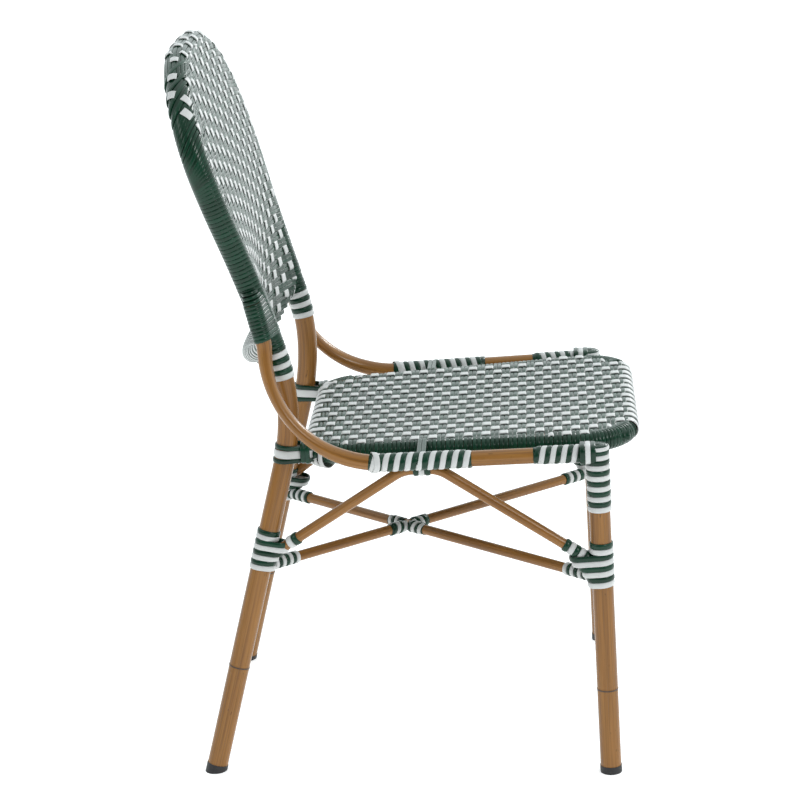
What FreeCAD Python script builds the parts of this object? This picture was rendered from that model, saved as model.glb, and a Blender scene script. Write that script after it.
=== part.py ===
import FreeCAD, Part
import math
import os

# Stacking side chair: bent round tube frame, woven seat and back, bound joints.
# Row frame: origin on the floor under the middle of the chair, +Z up, the
# sitter faces -Y.  Side 'right' is the sitter's right (-X), 'left' is +X.
# All sizes in millimetres.  The values below are measured from a line 16.8 mm
# in front of the middle, and every node is moved back by CENTRE_SHIFT.

V = FreeCAD.Vector

CENTRE_SHIFT = 16.8

# ---- tube and strand sizes -------------------------------------------------
LEG_R = 12.7            # leg and back hoop tube, outer radius
RAIL_R = 9.5            # side rail, seat frame and lower back rail
BRACE_R = 6.4           # arch and cross braces
WALL = 1.5              # tube wall
WRAP = 2.2              # thickness of the bound strands
WEAVE_T = 5.0           # thickness of the woven panels
CAP_R = 13.2            # foot cap, outer radius
CAP_H = 9.0             # foot cap height above the floor
CAP_SOLE = 3.0          # foot cap sole thickness

# ---- rear legs (left side, mirrored for the right) --------------------------
REAR_FOOT = V(181.5, 243.5, 0)
REAR_KNEE = V(143.0, 129.5, 417)
REAR_HIP = V(148.0, 129.5, 491.7)
REAR_TOP = V(149.0, 144.0, 540)
REAR_BEND = 250.0

# ---- front legs -------------------------------------------------------------
FRONT_FOOT = V(215.0, -243.7, 0)
FRONT_TOP = V(206.0, -238.2, 415.5)

# ---- back hoop: half outline in (x, z), laid on one leaning plane -----------
BACK_LEAN = 0.30        # rearward run per unit of height
BACK_PLANE_Y = 132.0    # plane's y at the height below
BACK_PLANE_Z = 500.0
HOOP_HALF = [(149.0, 540.0, 0.0), (149.6, 566.0, 180.0), (161.0, 632.0, 420.0),
             (189.0, 712.0, 280.0), (198.5, 772.0, 88.0), (160.0, 829.5, 90.0),
             (92.0, 866.5, 170.0)]

# ---- lower back rail: bowed rearward and down --------------------------------
LOW_RAIL_END = V(149.0, 142.0, 539.0)
LOW_RAIL_MID = V(0, 184.0, 493.5)

# ---- woven back: bow of the panel, and the hoop's half widths at some heights ----
BACK_BOW = 55.0
BACK_BOW_TOP = 740.0
BACK_BOW_POWER = 1.8
BACK_BOW_LEAST = 1.2
BACK_SAG_Z = 509.0
BACK_SECTIONS = [(470.0, 147.0), (545.0, 147.5), (632.0, 161.0), (712.0, 187.0),
                 (772.0, 194.0), (835.0, 194.0), (890.0, 194.0)]

# ---- side rails, which sweep down beside the rear legs -----------------------
RAIL_START = V(175.6, 160.0, 592)
RAIL_SHOULDER = V(172.6, 149.2, 540)
RAIL_CORNER = V(194.5, 152.5, 394.6)
RAIL_FRONT = V(206.0, -238.2, 403.8)
RAIL_BEND = 133.0
RAIL_CORNER_Y = {"right": 152.5, "left": 147.5}

# ---- seat frame ---------------------------------------------------------------
SEAT_REAR_X = 144.0
SEAT_REAR_Y = 104.0
SEAT_REAR_Z = 394.0
SEAT_REAR_R = 42.0
SEAT_FRONT_X = 172.0
SEAT_FRONT_Y = -279.0
SEAT_FRONT_Z = 406.7
SEAT_FRONT_R = 56.0
SEAT_BAR_Y = (-160.0, -10.0)

# ---- arch and cross braces ------------------------------------------------------
ARCH_REAR = V(157.0, 160.0, 271.5)
ARCH_FRONT = V(208.6, -236.0, 265)
ARCH_TOP_X = 191.0
ARCH_TOP_Z = 385.8
ARCH_TOP_REAR = -8.0
ARCH_TOP_FRONT = -50.0
ARCH_BEND = 40.0
CROSS_REAR_Y = 173.0
CROSS_FRONT_Y = -241.0
CROSS_REAR_X = 158.5
CROSS_FRONT_X = 208.5
CROSS_MID = V(0, 1.5, 249.4)
CROSS_REAR_Z = {"right": 257.0, "left": 247.0}
CROSS_FRONT_Z = {"right": 247.0, "left": 245.0}

# ---- bindings: extents along the part that they wrap -----------------------------
RAIL_BIND_Y = {"right": (-91.0, 32.0), "left": (-101.0, 22.0)}
CORNER_BIND_Y = -165.0
CORNER_BIND_Z = 333.0
FRONT_BIND_Z = (239.0, 286.0)
REAR_BIND_Z = (255.0, 301.0)
TIE_Z = (388.0, 408.0)
UPPER_WRAP_Z = 489.0
ARM_BIND = {"rear": (40.0, 50.0), "front": (47.0, 52.0)}
RING_H = 1.6
RING_Z = {"rear": 132.0, "front": 107.0}


def mirrored(point):
    return V(-point.x, point.y, point.z)


def for_side(point, side):
    return point if side == "left" else mirrored(point)


def between(a, b, t):
    return a + (b - a) * t


def at_z(a, b, z):
    """Point of the line a-b at height z."""
    return between(a, b, (z - a.z) / (b.z - a.z))


def at_y(a, b, y):
    """Point of the line a-b at the given y."""
    return between(a, b, (y - a.y) / (b.y - a.y))


def rounded_edges(points, radii):
    """Edges of a polyline whose inner corners are tangent arcs."""
    edges = []
    start = points[0]
    for i in range(1, len(points) - 1):
        corner = points[i]
        d_in = (corner - points[i - 1]).normalize()
        d_out = (points[i + 1] - corner).normalize()
        half = 0.5 * math.acos(max(-1.0, min(1.0, d_in.dot(d_out))))
        if half < 1e-4 or radii[i] <= 0:
            continue
        reach = radii[i] * math.tan(half)
        first = corner - d_in * reach
        last = corner + d_out * reach
        toward = (d_out - d_in).normalize()
        middle = corner + toward * (radii[i] / math.cos(half) - radii[i])
        if first.distanceToPoint(start) > 1e-3:
            edges.append(Part.LineSegment(start, first).toShape())
        edges.append(Part.Arc(first, middle, last).toShape())
        start = last
    edges.append(Part.LineSegment(start, points[-1]).toShape())
    return edges


def sweep(edges, radius):
    """Solid rod of the given radius along a chain of tangent edges."""
    path = Part.Wire(edges)
    first = path.Edges[0]
    tangent = first.tangentAt(first.FirstParameter)
    origin = first.valueAt(first.FirstParameter)
    ring = Part.Wire([Part.makeCircle(radius, origin, tangent)])
    return path.makePipeShell([ring], True, True)


def tube(edges, radius, wall=WALL):
    return sweep(edges, radius).cut(sweep(edges, radius - wall))


def rod(a, b, radius):
    return Part.makeCylinder(radius, a.distanceToPoint(b), a, b - a)


def pipe(a, b, outer, inner):
    return rod(a, b, outer).cut(rod(a, b, inner))


def one_solid(shape):
    """The largest solid of a shape, so that each node is one body."""
    solids = sorted(shape.Solids, key=lambda s: s.Volume)
    return solids[-1]


def back_y(z):
    return BACK_PLANE_Y + BACK_LEAN * (z - BACK_PLANE_Z)


# ---- centrelines ------------------------------------------------------------------
def rear_leg_edges(side, drop=0.0):
    foot = REAR_FOOT - (REAR_KNEE - REAR_FOOT).normalize() * drop
    pts = [for_side(p, side) for p in (foot, REAR_KNEE, REAR_HIP, REAR_TOP)]
    return rounded_edges(pts, [0, REAR_BEND, REAR_BEND, 0])


def hoop_edges():
    left = [V(x, back_y(z), z) for x, z, r in HOOP_HALF]
    right = [mirrored(p) for p in reversed(left)]
    radii = [r for x, z, r in HOOP_HALF]
    return rounded_edges(left + right, radii + radii[::-1])


def low_rail_edges():
    return [Part.Arc(LOW_RAIL_END, LOW_RAIL_MID, mirrored(LOW_RAIL_END)).toShape()]


def side_rail_edges(side):
    corner = at_y(RAIL_CORNER, RAIL_FRONT, RAIL_CORNER_Y[side])
    pts = (RAIL_START, RAIL_SHOULDER, corner, RAIL_FRONT)
    return rounded_edges([for_side(p, side) for p in pts], [0, 60, RAIL_BEND, 0])


def arch_edges(side):
    top_rear = V(ARCH_TOP_X, ARCH_TOP_REAR, ARCH_TOP_Z)
    top_front = V(ARCH_TOP_X, ARCH_TOP_FRONT, ARCH_TOP_Z)
    pts = (ARCH_REAR, top_rear, top_front, ARCH_FRONT)
    return rounded_edges([for_side(p, side) for p in pts], [0, ARCH_BEND, ARCH_BEND, 0])


def seat_corners():
    rear = V(SEAT_REAR_X, SEAT_REAR_Y, SEAT_REAR_Z)
    front = V(SEAT_FRONT_X, SEAT_FRONT_Y, SEAT_FRONT_Z)
    return [rear, front, mirrored(front), mirrored(rear)]


def seat_edges():
    """Closed rounded trapezoid, begun and ended in the middle of its rear side."""
    middle = V(0, SEAT_REAR_Y, SEAT_REAR_Z)
    pts = [middle] + seat_corners() + [middle]
    radii = [0, SEAT_REAR_R, SEAT_FRONT_R, SEAT_FRONT_R, SEAT_REAR_R, 0]
    return rounded_edges(pts, radii)


def cross_end(side, end):
    x, y = (CROSS_REAR_X, CROSS_REAR_Y) if end == "rear" else (CROSS_FRONT_X, CROSS_FRONT_Y)
    z = (CROSS_REAR_Z if end == "rear" else CROSS_FRONT_Z)[side]
    return for_side(V(x, y, z), side)


# ---- solid envelopes used for trimming ----------------------------------------------
def rear_leg_rod(side, extra=0.0):
    return sweep(rear_leg_edges(side, 20), LEG_R + extra)


def front_leg_rod(side, extra=0.0):
    low = FRONT_FOOT - (FRONT_TOP - FRONT_FOOT).normalize() * 20
    return rod(for_side(low, side), for_side(FRONT_TOP, side), LEG_R + extra)


def above(z):
    return Part.makeBox(800, 800, 1200, V(-400, -400, z))


# ---- tubes ------------------------------------------------------------------------
def rear_leg(side):
    leg = tube(rear_leg_edges(side, 20), LEG_R)
    return leg.common(above(CAP_SOLE))


def front_leg(side):
    low = FRONT_FOOT - (FRONT_TOP - FRONT_FOOT).normalize() * 20
    leg = pipe(for_side(low, side), for_side(FRONT_TOP, side), LEG_R, LEG_R - WALL)
    return leg.common(above(CAP_SOLE))


def front_leg_plug(side):
    top = for_side(FRONT_TOP, side)
    axis = (top - for_side(FRONT_FOOT, side)).normalize()
    head = Part.makeCylinder(LEG_R, 2.0, top, axis)
    stem = Part.makeCylinder(LEG_R - WALL, 12.0, top - axis * 12.0, axis)
    return head.fuse(stem).removeSplitter()


def back_hoop():
    return tube(hoop_edges(), LEG_R)


def side_rail(side):
    rail = tube(side_rail_edges(side), RAIL_R)
    rail = rail.cut(sweep(hoop_edges(), LEG_R))
    return one_solid(rail.cut(front_leg_rod(side)))


def low_rail():
    rail = tube(low_rail_edges(), RAIL_R)
    for side in ("left", "right"):
        rail = rail.cut(rear_leg_rod(side))
    return one_solid(rail.cut(sweep(hoop_edges(), LEG_R)))


def seat_frame():
    return tube(seat_edges(), RAIL_R)


def seat_bar(y):
    x = at_y(seat_corners()[0], seat_corners()[1], y).x
    z = at_y(seat_corners()[0], seat_corners()[1], y).z - 4.0
    bar = pipe(V(-x, y, z), V(x, y, z), BRACE_R, BRACE_R - WALL)
    return one_solid(bar.cut(sweep(seat_edges(), RAIL_R + WRAP)))


def side_arch(side):
    arch = tube(arch_edges(side), BRACE_R)
    arch = arch.cut(rear_leg_rod(side))
    arch = arch.cut(sweep(side_rail_edges(side), RAIL_R))
    return one_solid(arch.cut(front_leg_rod(side)))


def cross_long():
    """The unbroken cross brace: rear right leg to front left leg."""
    a = cross_end("right", "rear")
    b = cross_end("left", "front")
    brace = tube(rounded_edges([a, CROSS_MID, b], [0, 300, 0]), BRACE_R)
    brace = brace.cut(rear_leg_rod("right"))
    return one_solid(brace.cut(front_leg_rod("left")))


def cross_long_rod():
    a = cross_end("right", "rear")
    b = cross_end("left", "front")
    return sweep(rounded_edges([a, CROSS_MID, b], [0, 300, 0]), BRACE_R)


def cross_half(end):
    """Half brace, welded to the long one in the middle."""
    side = "left" if end == "rear" else "right"
    outer = cross_end(side, end)
    brace = pipe(outer, CROSS_MID, BRACE_R, BRACE_R - WALL)
    brace = brace.cut(rear_leg_rod(side) if end == "rear" else front_leg_rod(side))
    return one_solid(brace.cut(cross_long_rod()))


# ---- feet ---------------------------------------------------------------------------
def foot_cap(end, side):
    foot, top = (REAR_FOOT, REAR_KNEE) if end == "rear" else (FRONT_FOOT, FRONT_TOP)
    foot = for_side(foot, side)
    top = for_side(top, side)
    axis = (top - foot).normalize()
    body = rod(foot - axis * 20, at_z(foot, top, CAP_H), CAP_R).common(above(0))
    pocket = rod(foot - axis * 20, top, LEG_R).common(above(CAP_SOLE))
    spigot = rod(foot - axis * 20, at_z(foot, top, CAP_H), LEG_R - WALL).common(above(CAP_SOLE))
    return one_solid(body.cut(pocket).fuse(spigot).removeSplitter())


def leg_ring(end, side):
    foot, top = (REAR_FOOT, REAR_KNEE) if end == "rear" else (FRONT_FOOT, FRONT_TOP)
    foot = for_side(foot, side)
    top = for_side(top, side)
    axis = (top - foot).normalize()
    low = at_z(foot, top, RING_Z[end])
    return pipe(low, low + axis * RING_H, LEG_R + 0.35, LEG_R)


# ---- strand bindings -------------------------------------------------------------------
def rail_binding(side):
    """Middle of the side rail, with the saddle over the arch's flat top."""
    a = for_side(at_y(RAIL_CORNER, RAIL_FRONT, RAIL_BIND_Y[side][1]), side)
    b = for_side(at_y(RAIL_CORNER, RAIL_FRONT, RAIL_BIND_Y[side][0]), side)
    low = for_side(V(ARCH_TOP_X, -20, ARCH_TOP_Z), side)
    end = for_side(V(ARCH_TOP_X, -42, ARCH_TOP_Z), side)
    shape = rod(a, b, RAIL_R + WRAP).fuse(rod(low, end, BRACE_R + WRAP))
    shape = shape.cut(sweep(side_rail_edges(side), RAIL_R))
    shape = shape.cut(sweep(arch_edges(side), BRACE_R))
    return one_solid(shape.cut(sweep(seat_edges(), RAIL_R + WRAP)))


def corner_binding(side):
    """Front corner, where the side rail meets the front leg."""
    a = for_side(at_y(RAIL_CORNER, RAIL_FRONT, CORNER_BIND_Y), side)
    b = for_side(RAIL_FRONT, side)
    low = for_side(at_z(FRONT_FOOT, FRONT_TOP, CORNER_BIND_Z), side)
    top = for_side(FRONT_TOP, side)
    axis = (top - low).normalize()
    shape = rod(low, top + axis * (2.0 + WRAP), LEG_R + WRAP)
    shape = shape.fuse(rod(a, b, RAIL_R + WRAP))
    shape = shape.cut(rod(low, top + axis * 2.0, LEG_R))
    shape = shape.cut(rod(a, b, RAIL_R).cut(rod(low, top, LEG_R)))
    return one_solid(shape.cut(sweep(seat_edges(), RAIL_R + WRAP)))


def front_binding(side):
    low = for_side(at_z(FRONT_FOOT, FRONT_TOP, FRONT_BIND_Z[0]), side)
    top = for_side(at_z(FRONT_FOOT, FRONT_TOP, FRONT_BIND_Z[1]), side)
    return leg_binding(side, "front", low, top, front_leg_rod(side))


def rear_binding(side):
    low = for_side(at_z(REAR_FOOT, REAR_KNEE, REAR_BIND_Z[0]), side)
    top = for_side(at_z(REAR_FOOT, REAR_KNEE, REAR_BIND_Z[1]), side)
    return leg_binding(side, "rear", low, top, rear_leg_rod(side))


def leg_binding(side, end, low, top, leg):
    """Sleeve on a leg, with the wrapped first stretch of both braces."""
    arch = arch_edges(side)
    arch_end = for_side(ARCH_REAR if end == "rear" else ARCH_FRONT, side)
    top_y = ARCH_TOP_REAR if end == "rear" else ARCH_TOP_FRONT
    arch_in = for_side(V(ARCH_TOP_X, top_y, ARCH_TOP_Z), side)
    cross_out = cross_end(side, end)
    shape = rod(low, top, LEG_R + WRAP)
    arms = ((arch_end, arch_in), (cross_out, CROSS_MID))
    for (outer, inner), length in zip(arms, ARM_BIND[end]):
        reach = outer + (inner - outer).normalize() * length
        shape = shape.fuse(rod(outer, reach, BRACE_R + WRAP))
    shape = shape.cut(leg)
    shape = shape.cut(sweep(arch, BRACE_R))
    return one_solid(shape.cut(rod(cross_out, CROSS_MID, BRACE_R)))


def rear_tie(side):
    """Binding that ties the seat frame's rear corner to the rear leg."""
    low = for_side(at_z(REAR_FOOT, REAR_KNEE, TIE_Z[0]), side)
    top = for_side(at_z(REAR_FOOT, REAR_KNEE, TIE_Z[1]), side)
    sleeve = rod(low, top, LEG_R + WRAP)
    neck = Part.makeBox(14, 40, 18, V(134, 88, 386))
    if side == "right":
        neck = neck.mirror(V(0, 0, 0), V(1, 0, 0))
    shape = sleeve.fuse(neck).cut(rear_leg_rod(side))
    return one_solid(shape.cut(sweep(seat_edges(), RAIL_R + WRAP)))


def upper_wrap(side):
    """Wrapped stretch of the rear leg between its bare part and the hoop."""
    sleeve = sweep(rear_leg_edges(side, 20), LEG_R + WRAP)
    sleeve = sleeve.cut(rear_leg_rod(side)).common(above(UPPER_WRAP_Z))
    sleeve = sleeve.cut(sweep(side_rail_edges(side), RAIL_R))
    return one_solid(sleeve.cut(sweep(low_rail_edges(), RAIL_R + WRAP)))


def hoop_wrap():
    wrap = sweep(hoop_edges(), LEG_R + WRAP).cut(sweep(hoop_edges(), LEG_R))
    for side in ("left", "right"):
        wrap = wrap.cut(sweep(side_rail_edges(side), RAIL_R))
    return one_solid(wrap.cut(sweep(low_rail_edges(), RAIL_R + WRAP)))


def low_rail_wrap():
    wrap = sweep(low_rail_edges(), RAIL_R + WRAP).cut(sweep(low_rail_edges(), RAIL_R))
    for side in ("left", "right"):
        wrap = wrap.cut(rear_leg_rod(side))
    return one_solid(wrap.cut(sweep(hoop_edges(), LEG_R)))


def seat_frame_wrap():
    return sweep(seat_edges(), RAIL_R + WRAP).cut(sweep(seat_edges(), RAIL_R))


def cross_binding():
    """Bound crossing of the two diagonal braces."""
    shape = None
    for side, end in (("right", "rear"), ("left", "front"), ("left", "rear"), ("right", "front")):
        outward = (cross_end(side, end) - CROSS_MID).normalize()
        arm = rod(CROSS_MID, CROSS_MID + outward * 30.0, BRACE_R + WRAP)
        shape = arm if shape is None else shape.fuse(arm)
    shape = shape.cut(cross_long_rod())
    for side, end in (("left", "rear"), ("right", "front")):
        shape = shape.cut(rod(cross_end(side, end), CROSS_MID, BRACE_R))
    return shape


# ---- woven panels ------------------------------------------------------------------------
def seat_weave():
    outline = Part.Face(Part.Wire(seat_edges()))
    lift = RAIL_R + 1.0 - WEAVE_T
    slab = outline.extrude(V(0, 0, WEAVE_T))
    slab.translate(V(0, 0, lift))
    return one_solid(slab.cut(sweep(seat_edges(), RAIL_R + WRAP)))


def back_section(z, width):
    """Closed strip across the back at height z, bowed rearward between the hoop's
    sides, which are width from the middle there."""
    lean = math.atan(BACK_LEAN)
    normal = V(0, math.cos(lean), -math.sin(lean))
    share = max(0.0, (BACK_BOW_TOP - z) / (BACK_BOW_TOP - LOW_RAIL_MID.z))
    bow = max(BACK_BOW_LEAST, BACK_BOW * share ** BACK_BOW_POWER)
    edge = width + 8.0
    drop = bow - bow * (edge / width) ** 2
    middle = V(0, back_y(z), z)
    front = middle - normal * (WEAVE_T / 2)
    rear = middle + normal * (WEAVE_T / 2)
    side = V(edge, 0, 0)
    top = normal * (bow + 0.3)
    low = normal * drop
    near = Part.Arc(front - side + low, front + top, front + side + low).toShape()
    far = Part.Arc(rear + side + low, rear + top, rear - side + low).toShape()
    cap_a = Part.LineSegment(front + side + low, rear + side + low).toShape()
    cap_b = Part.LineSegment(rear - side + low, front - side + low).toShape()
    return Part.Wire([near, cap_a, far, cap_b])


def back_prism():
    """Space inside the hoop's centreline and above the lower rail's sag."""
    lean = math.atan(BACK_LEAN)
    normal = V(0, math.cos(lean), -math.sin(lean))
    low = HOOP_HALF[0]
    left = V(low[0], back_y(low[1]), low[1])
    sag = Part.Arc(mirrored(left), V(0, back_y(BACK_SAG_Z), BACK_SAG_Z), left).toShape()
    face = Part.Face(Part.Wire(hoop_edges() + [sag]))
    prism = face.extrude(normal * 160)
    prism.translate(normal * -60)
    return prism


def back_weave():
    """Woven back: flat along the arch, bowed at the lower rail."""
    sections = [back_section(z, width) for z, width in BACK_SECTIONS]
    panel = Part.makeLoft(sections, True, True).common(back_prism())
    panel = panel.cut(sweep(hoop_edges(), LEG_R + WRAP))
    panel = panel.cut(sweep(low_rail_edges(), RAIL_R + WRAP))
    for side in ("left", "right"):
        panel = panel.cut(rear_leg_rod(side, WRAP))
    return one_solid(panel)


def build_nodes():
    nodes = {}
    for side in ("left", "right"):
        nodes["rear_leg_" + side] = rear_leg(side)
        nodes["front_leg_" + side] = front_leg(side)
        nodes["front_leg_plug_" + side] = front_leg_plug(side)
        nodes["side_rail_" + side] = side_rail(side)
        nodes["side_arch_" + side] = side_arch(side)
        nodes["rail_binding_" + side] = rail_binding(side)
        nodes["corner_binding_" + side] = corner_binding(side)
        nodes["front_leg_binding_" + side] = front_binding(side)
        nodes["rear_leg_binding_" + side] = rear_binding(side)
        nodes["rear_tie_" + side] = rear_tie(side)
        nodes["rear_leg_wrap_" + side] = upper_wrap(side)
        for end in ("rear", "front"):
            nodes["foot_cap_" + end + "_" + side] = foot_cap(end, side)
            nodes["leg_ring_" + end + "_" + side] = leg_ring(end, side)
    nodes["back_hoop"] = back_hoop()
    nodes["back_low_rail"] = low_rail()
    nodes["back_hoop_wrap"] = hoop_wrap()
    nodes["back_low_rail_wrap"] = low_rail_wrap()
    nodes["back_weave"] = back_weave()
    nodes["seat_frame"] = seat_frame()
    nodes["seat_frame_wrap"] = seat_frame_wrap()
    nodes["seat_weave"] = seat_weave()
    nodes["seat_bar_front"] = seat_bar(SEAT_BAR_Y[0])
    nodes["seat_bar_rear"] = seat_bar(SEAT_BAR_Y[1])
    nodes["cross_brace_long"] = cross_long()
    nodes["cross_brace_rear"] = cross_half("rear")
    nodes["cross_brace_front"] = cross_half("front")
    nodes["cross_binding"] = cross_binding()
    return nodes


def main():
    os.makedirs("parts", exist_ok=True)
    for name, shape in build_nodes().items():
        if len(shape.Solids) != 1 or not shape.isValid():
            print("CHECK", name, len(shape.Solids), shape.isValid())
        shape.translate(V(0, CENTRE_SHIFT, 0))
        shape.exportStep("parts/" + name + ".step")
        box = shape.BoundBox
        print("%-28s vol %9.0f  x %7.1f %7.1f  y %7.1f %7.1f  z %7.1f %7.1f" % (
            name, shape.Volume, box.XMin, box.XMax, box.YMin, box.YMax, box.ZMin, box.ZMax))


main()
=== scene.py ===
import math

import bpy
import numpy as np
from mathutils import Matrix, Vector


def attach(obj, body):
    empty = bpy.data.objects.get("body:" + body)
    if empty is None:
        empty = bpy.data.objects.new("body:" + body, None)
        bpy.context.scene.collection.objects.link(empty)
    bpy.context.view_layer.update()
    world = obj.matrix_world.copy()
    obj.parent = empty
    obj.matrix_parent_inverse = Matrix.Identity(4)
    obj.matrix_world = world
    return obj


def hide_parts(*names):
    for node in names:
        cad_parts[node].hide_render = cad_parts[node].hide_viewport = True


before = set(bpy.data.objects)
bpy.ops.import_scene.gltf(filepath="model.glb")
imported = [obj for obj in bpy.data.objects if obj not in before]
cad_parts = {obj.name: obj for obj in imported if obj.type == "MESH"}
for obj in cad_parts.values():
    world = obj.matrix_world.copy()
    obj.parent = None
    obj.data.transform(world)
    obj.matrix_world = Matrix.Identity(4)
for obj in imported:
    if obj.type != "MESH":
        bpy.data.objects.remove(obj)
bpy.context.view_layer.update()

# Woven stacking chair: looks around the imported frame.  Lengths in the tables
# below are millimetres in the CAD source's own coordinates; SHIFT_Y moves them
# to the row frame and MM turns them into metres.
MM = 0.001
SHIFT_Y = 16.8
RNG = np.random.default_rng(7)
SIDES = ("left", "right")
SIGN = {"left": 1, "right": -1}

LEG_R, RAIL_R, BRACE_R = 12.7, 9.5, 6.4
PAIR = 10.75            # pitch of a pair of green strands
STRAND_T = 2.7          # thickness of a bound strand
PROUD = 1.8             # how far a bound strand stands out of its tube
GREEN_W = 0.49 * PAIR   # width of a woven green strand
GREEN_T = 2.1           # thickness of a woven green strand
BAND = 20.5             # pitch of the seat's white bands
BACK_BAND = 26.5        # pitch of the back's white bands
SLOPE = 0.30            # rearward run of the back for each unit of height
LEAN = math.atan(SLOPE)
RAIL_SQUASH = 0.24      # how much the side rail is flattened in its bend
LOW_END = (149.0, 142.0, 539.0)     # ends of the lower back rail
LOW_MID = (0.0, 184.0, 493.5)       # its middle
ROW_SAG = 0.0005        # sag of a row of the back, per millimetre squared
BOW, BOW_TOP, BOW_POWER = 55.0, 740.0, 1.8      # bow of the back above the lower rail


def vec(*xyz):
    return np.array(xyz, float)


def unit(v):
    return v / np.linalg.norm(v)


def flip(points):
    """Mirror image across the middle of the chair."""
    return np.asarray(points) * vec(-1, 1, 1)


# ---- routes: the same runs and arcs as the CAD tubes -------------------------
def filleted(points, radii, step=5.0):
    """Polyline with tangent arcs at its inner corners, sampled evenly."""
    points = [np.asarray(p, float) for p in points]
    out = [points[0]]
    for i in range(1, len(points) - 1):
        a = unit(points[i] - points[i - 1])
        b = unit(points[i + 1] - points[i])
        half = 0.5 * math.acos(max(-1.0, min(1.0, float(a @ b))))
        if half < 1e-4 or radii[i] <= 0:
            out.append(points[i])
            continue
        first = points[i] - a * radii[i] * math.tan(half)
        centre = points[i] + unit(b - a) * radii[i] / math.cos(half)
        count = max(3, int(2 * half * radii[i] / step) + 1)
        for k in range(count + 1):
            turn = 2 * half * k / count
            out.append(centre + (first - centre) * math.cos(turn)
                       + a * radii[i] * math.sin(turn))
    out.append(points[-1])
    return resampled(np.array(out), step)


def resampled(line, step):
    gaps = np.linalg.norm(np.diff(line, axis=0), axis=1)
    keep = np.concatenate([[True], gaps > 1e-6])
    line = line[keep]
    s = np.concatenate([[0], np.cumsum(np.linalg.norm(np.diff(line, axis=0), axis=1))])
    count = max(2, int(round(s[-1] / step)) + 1)
    t = np.linspace(0, s[-1], count)
    return np.stack([np.interp(t, s, line[:, k]) for k in range(3)], 1)


class Route:
    """A centreline with arc length and a frame that doesn't twist."""

    def __init__(self, line, ref):
        self.p = np.asarray(line, float)
        step = np.linalg.norm(np.diff(self.p, axis=0), axis=1)
        self.s = np.concatenate([[0], np.cumsum(step)])
        self.length = self.s[-1]
        t = np.gradient(self.p, self.s, axis=0)
        self.t = t / np.linalg.norm(t, axis=1)[:, None]
        n = np.asarray(ref, float)
        rows = []
        for tangent in self.t:
            n = unit(n - tangent * (n @ tangent))
            rows.append(n)
        self.n = np.array(rows)
        self.b = np.cross(self.t, self.n)

    def at(self, s):
        """Position, tangent and the two normals at arc lengths s."""
        s = np.asarray(s, float)
        inside = np.clip(s, 0, self.length)
        out = []
        for rows in (self.p, self.t, self.n, self.b):
            out.append(np.stack([np.interp(inside, self.s, rows[:, k]) for k in range(3)], -1))
        out[0] = out[0] + out[1] * (s - inside)[..., None]
        return out

    def spot(self, s):
        """Position and tangent at one arc length."""
        p, t, n, b = self.at([s])
        return p[0], t[0]

    def s_where(self, axis, value):
        """Arc length at which the route first reaches a coordinate."""
        v = self.p[:, axis] - value
        hits = np.where(v[:-1] * v[1:] <= 0)[0]
        i = hits[0] if len(hits) else int(np.argmin(abs(v)))
        i = min(i, len(v) - 2)
        f = v[i] / (v[i] - v[i + 1]) if v[i] != v[i + 1] else 0.0
        return self.s[i] + f * (self.s[i + 1] - self.s[i])


REAR = [vec(181.5, 243.5, 0), vec(143, 129.5, 417), vec(148, 129.5, 491.7), vec(149, 144, 540)]
FRONT_FOOT, FRONT_TOP = vec(215, -243.7, 0), vec(206, -238.2, 415.5)
RAIL = [vec(175.6, 160, 592), vec(172.6, 149.2, 540), vec(194.5, 152.5, 394.6),
        vec(206, -238.2, 403.8)]
ARCH = [vec(157, 160, 271.5), vec(191, -8, 385.8), vec(191, -50, 385.8), vec(208.6, -236, 265)]
HOOP = [(149, 540, 0), (149.6, 566, 180), (161, 632, 420), (189, 712, 280),
        (198.5, 772, 88), (160, 829.5, 90), (92, 866.5, 170)]
LEFT_CORNER = 5.0        # the left rail's corner lies this much further forward
CROSS_MID = vec(0, 1.5, 249.4)
CROSS_END = {("right", "rear"): vec(-158.5, 173, 257), ("left", "rear"): vec(158.5, 173, 247),
             ("right", "front"): vec(-208.5, -241, 247), ("left", "front"): vec(208.5, -241, 245)}
# Corners of the seat frame: x, y, z and the radius of the bend.
SEAT_REAR = (144.0, 104.0, 394.0, 42.0)
SEAT_FRONT = (172.0, -279.0, 406.7, 56.0)
SEAT_Y0 = SEAT_REAR[1] + 4.0        # the rearmost pair of green strands


def back_y(z):
    return 132.0 + SLOPE * (z - 500.0)


def sided(points, side):
    return points if side == "left" else [flip(p) for p in points]


def rear_route(side):
    low = REAR[0] + unit(REAR[1] - REAR[0]) * 4
    line = filleted(sided([low] + REAR[1:], side), [0, 250, 250, 0])
    return Route(line, (0, 1, 0))


def front_route(side):
    return Route(resampled(np.array(sided([FRONT_FOOT, FRONT_TOP], side)), 5), (0, 1, 0))


def rail_route(side):
    corner, end = RAIL[2], RAIL[3]
    if side == "left":
        corner = corner + (end - corner) * LEFT_CORNER / (corner[1] - end[1])
    line = filleted(sided([RAIL[0], RAIL[1], corner, RAIL[3]], side), [0, 60, 133, 0])
    return Route(line, (0, 1, 0.2))


def arch_route(side):
    return Route(filleted(sided(ARCH, side), [0, 40, 40, 0], 3.0), (1, 0, 0))


def hoop_route():
    left = [vec(x, back_y(z), z) for x, z, r in HOOP]
    line = left + [flip(p) for p in reversed(left)]
    radii = [r for x, z, r in HOOP]
    normal = vec(0, math.cos(LEAN), -math.sin(LEAN))
    return Route(filleted(line, radii + radii[::-1], 3.0), normal)


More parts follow.
